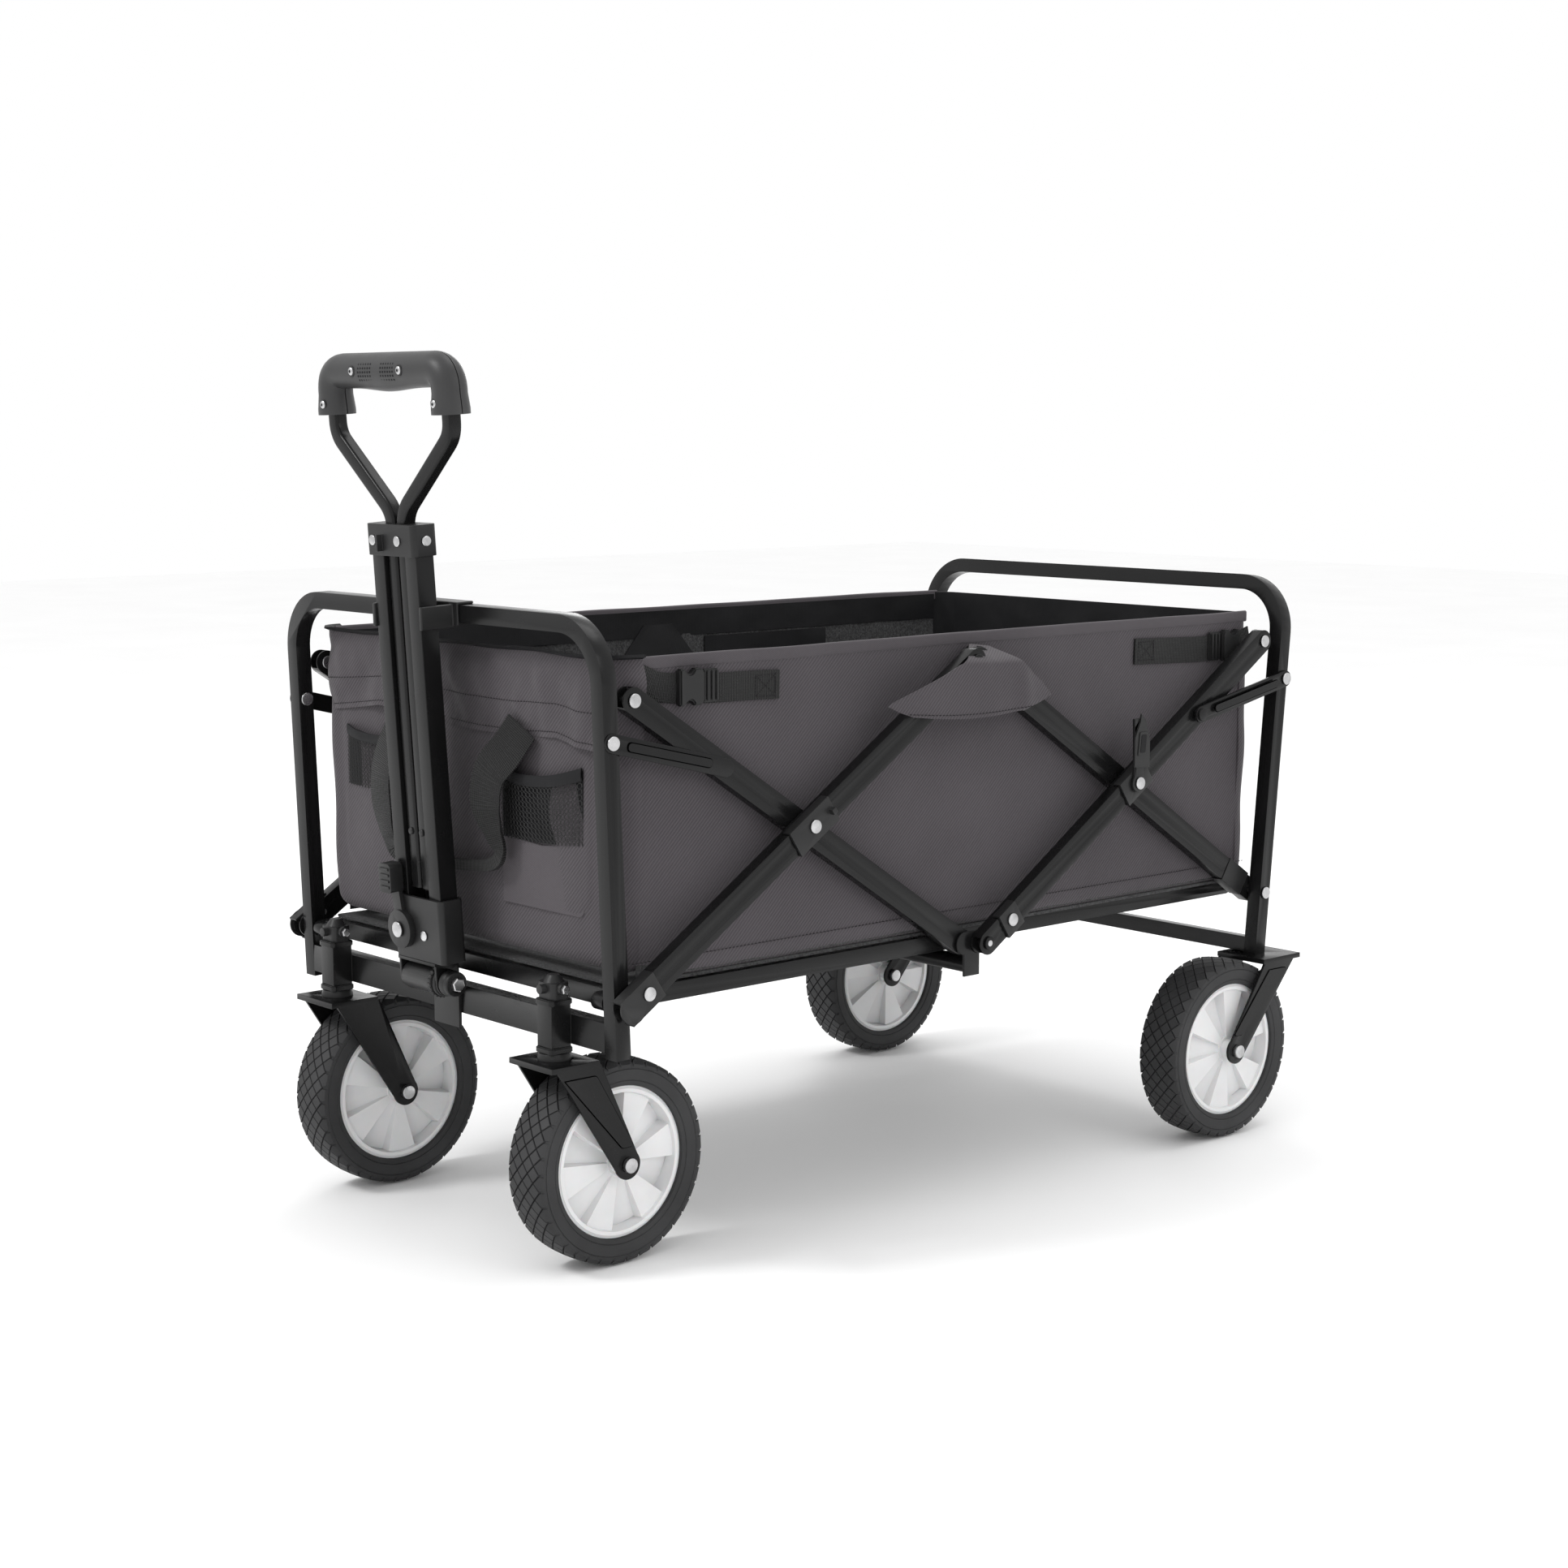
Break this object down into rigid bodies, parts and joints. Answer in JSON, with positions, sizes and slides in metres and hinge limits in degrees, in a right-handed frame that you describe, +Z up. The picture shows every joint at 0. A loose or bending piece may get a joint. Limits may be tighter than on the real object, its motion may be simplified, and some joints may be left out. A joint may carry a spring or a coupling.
{
  "type": "folding wagon",
  "caption": "Folding wagon: fabric tub in a scissor frame of black tube, swivelling front wheels, fixed rear wheels, and a tilting telescopic pull handle.",
  "frame": {"origin": "on the ground under the middle of the open wagon", "axes": "X across the wagon, Y along it with the pull handle at -Y, Z up"},
  "size_m": [0.562, 0.9204, 0.7689],
  "materials": {
    "black_steel": "black powder coat, slightly pebbled",
    "black_plastic": "moulded black nylon",
    "grip_plastic": "dark grey moulded grip",
    "black_rivets": "blackened rivets",
    "zinc": "zinc-plated fasteners",
    "tyre": "dark grey solid tyre with a raised tread",
    "white_hub": "off-white moulded hub",
    "tub_fabric": "charcoal twill polyester",
    "lining": "dark lining of the tub",
    "webbing": "black webbing with plastic buckles"
  },
  "bodies": {
    "front_end": {"front_frame": "black_steel", "front_lower_rail": "black_steel", "caster_caps": "black_plastic", "hinge_block": "black_plastic", "handle_clip": "black_plastic", "front_rivets": "black_rivets"},
    "front_outer_arm": {"front_outer_arms": "black_steel", "front_arm_caps": "black_plastic", "front_cross_covers": "black_plastic", "front_cross_rivets": "black_rivets"},
    "front_inner_arm": {"front_inner_arms": "black_steel", "front_tip_rivets": "black_rivets"},
    "centre": {"centre_tube": "black_steel", "centre_brackets": "black_steel"},
    "rear_outer_arm": {"rear_outer_arms": "black_steel", "rear_arm_knuckles": "black_plastic", "rear_cross_covers": "black_plastic", "rear_cross_rivets": "black_rivets"},
    "rear_inner_arm": {"rear_inner_arms": "black_steel", "rear_arm_caps": "black_plastic"},
    "rear_end": {"rear_frame": "black_steel", "rear_forks": "black_steel", "rear_fasteners": "zinc"},
    "top_centre": {"top_brackets": "black_steel"},
    "front_wall": {"front_panel": "tub_fabric", "side_panels": "tub_fabric", "front_buckles": "webbing"},
    "rear_wall": {"rear_panel": "lining", "rear_buckles": "webbing"},
    "front_floor": {"front_floor_rails": "black_steel", "front_floor_sheet": "lining"},
    "rear_floor": {"rear_floor_rails": "black_steel", "rear_floor_sheet": "lining"},
    "front_link": {"front_links": "black_steel"},
    "rear_link": {"rear_links": "black_steel"},
    "handle": {"handle_yoke": "black_steel", "handle_bolt": "black_plastic", "handle_socket": "black_plastic", "handle_outer_tubes": "black_steel", "handle_collar": "black_plastic", "handle_rivets": "zinc"},
    "grip": {"handle_inner_tubes": "black_steel", "grip_front": "grip_plastic", "grip_back": "grip_plastic", "grip_screws": "zinc"},
    "lock": {"lock_lever": "black_plastic"},
    "latch": {"latch_tab": "black_plastic"},
    "caster_left": {"caster_fork_left": "black_steel", "caster_pins_left": "zinc"},
    "wheel_front_left": {"tyre_front_left": "tyre", "hub_front_left": "white_hub"},
    "wheel_rear_left": {"tyre_rear_left": "tyre", "hub_rear_left": "white_hub"},
    "caster_right": {"caster_fork_right": "black_steel", "caster_pins_right": "zinc"},
    "wheel_front_right": {"tyre_front_right": "tyre", "hub_front_right": "white_hub"},
    "wheel_rear_right": {"tyre_rear_right": "tyre", "hub_rear_right": "white_hub"}
  },
  "joints": [
    {"name": "fold", "type": "hinge", "parent": "front_end", "child": "front_outer_arm", "pos_m": [0, -0.38846, 0.238], "axis": [1, 0, 0], "range_deg": [0, 52.8]},
    {"name": "front_crossing", "type": "hinge", "parent": "front_outer_arm", "child": "front_inner_arm", "pos_m": [0, -0.18973, 0.36805], "axis": [1, 0, 0], "range_deg": [-105.65, 0]},
    {"name": "centre_front_pin", "type": "hinge", "parent": "front_inner_arm", "child": "centre", "pos_m": [0, 0.009, 0.238], "axis": [1, 0, 0], "range_deg": [0, 52.85]},
    {"name": "centre_rear_pin", "type": "hinge", "parent": "centre", "child": "rear_outer_arm", "pos_m": [0, 0.027, 0.238], "axis": [1, 0, 0], "range_deg": [0, 52.85]},
    {"name": "rear_crossing", "type": "hinge", "parent": "rear_outer_arm", "child": "rear_inner_arm", "pos_m": [0, 0.22573, 0.36805], "axis": [1, 0, 0], "range_deg": [-105.65, 0]},
    {"name": "rear_foot_pin", "type": "hinge", "parent": "rear_inner_arm", "child": "rear_end", "pos_m": [0, 0.42446, 0.238], "axis": [1, 0, 0], "range_deg": [0, 52.85]},
    {"name": "top_pin", "type": "hinge", "parent": "front_outer_arm", "child": "top_centre", "pos_m": [0, 0.009, 0.49809], "axis": [1, 0, 0], "range_deg": [-52.85, 0]},
    {"name": "front_wall_pin", "type": "hinge", "parent": "front_inner_arm", "child": "front_wall", "pos_m": [0, -0.37215, 0.48741], "axis": [1, 0, 0], "range_deg": [0, 52.85], "deforming": ["side_panels", "front_buckles"]},
    {"name": "rear_wall_pin", "type": "hinge", "parent": "rear_outer_arm", "child": "rear_wall", "pos_m": [0, 0.41651, 0.49289], "axis": [1, 0, 0], "range_deg": [-52.85, 0], "deforming": ["rear_buckles"]},
    {"name": "front_floor_hinge", "type": "hinge", "parent": "front_end", "child": "front_floor", "pos_m": [0, -0.38846, 0.238], "axis": [1, 0, 0], "range_deg": [0, 84.1], "deforming": ["front_floor_sheet"]},
    {"name": "rear_floor_hinge", "type": "hinge", "parent": "rear_end", "child": "rear_floor", "pos_m": [0, 0.42446, 0.238], "axis": [1, 0, 0], "range_deg": [-84.1, 0], "deforming": ["rear_floor_sheet"]},
    {"name": "front_link_pin", "type": "hinge", "parent": "front_end", "child": "front_link", "pos_m": [0, -0.39646, 0.45463], "axis": [1, 0, 0], "range_deg": [0, 96.07]},
    {"name": "rear_link_pin", "type": "hinge", "parent": "rear_end", "child": "rear_link", "pos_m": [0, 0.44546, 0.454], "axis": [1, 0, 0], "range_deg": [-88.62, 0]},
    {"name": "handle_tilt", "type": "hinge", "parent": "front_end", "child": "handle", "pos_m": [0, -0.41146, 0.227], "axis": [1, 0, 0], "range_deg": [0, 100]},
    {"name": "handle_extend", "type": "slide", "parent": "handle", "child": "grip", "axis": [0, -0.0628, 0.998], "range_m": [0, 0.25]},
    {"name": "handle_lock", "type": "hinge", "parent": "handle", "child": "lock", "pos_m": [-0.02, -0.41429, 0.27191], "axis": [0, 0.998, 0.0628], "range_deg": [-45, 0]},
    {"name": "latch", "type": "hinge", "parent": "rear_outer_arm", "child": "latch", "pos_m": [0, 0.22573, 0.36805], "axis": [1, 0, 0], "range_deg": [0, 12]},
    {"name": "swivel_left", "type": "hinge", "parent": "front_end", "child": "caster_left", "pos_m": [-0.167, -0.40496, 0.184], "axis": [0, 0, 1], "continuous": true},
    {"name": "roll_front_left", "type": "hinge", "parent": "caster_left", "child": "wheel_front_left", "pos_m": [-0.167, -0.35096, 0.089], "axis": [1, 0, 0], "continuous": true},
    {"name": "roll_rear_left", "type": "hinge", "parent": "rear_end", "child": "wheel_rear_left", "pos_m": [-0.246, 0.35746, 0.089], "axis": [1, 0, 0], "continuous": true},
    {"name": "swivel_right", "type": "hinge", "parent": "front_end", "child": "caster_right", "pos_m": [0.167, -0.40496, 0.184], "axis": [0, 0, 1], "continuous": true},
    {"name": "roll_front_right", "type": "hinge", "parent": "caster_right", "child": "wheel_front_right", "pos_m": [0.167, -0.35096, 0.089], "axis": [1, 0, 0], "continuous": true},
    {"name": "roll_rear_right", "type": "hinge", "parent": "rear_end", "child": "wheel_rear_right", "pos_m": [0.246, 0.35746, 0.089], "axis": [1, 0, 0], "continuous": true}
  ],
  "couplings": [
    {"joint": "front_crossing", "follows": "fold", "ratio": -2},
    {"joint": "centre_front_pin", "follows": "fold", "ratio": 1},
    {"joint": "centre_rear_pin", "follows": "fold", "ratio": 1},
    {"joint": "rear_crossing", "follows": "fold", "ratio": -2},
    {"joint": "rear_foot_pin", "follows": "fold", "ratio": 1},
    {"joint": "top_pin", "follows": "fold", "ratio": -1},
    {"joint": "front_wall_pin", "follows": "fold", "ratio": 1},
    {"joint": "rear_wall_pin", "follows": "fold", "ratio": -1},
    {"joint": "front_floor_hinge", "follows": "fold", "ratio": 1.5919},
    {"joint": "rear_floor_hinge", "follows": "fold", "ratio": -1.5919},
    {"joint": "front_link_pin", "follows": "fold", "ratio": 1.8185},
    {"joint": "rear_link_pin", "follows": "fold", "ratio": -1.6775}
  ]
}
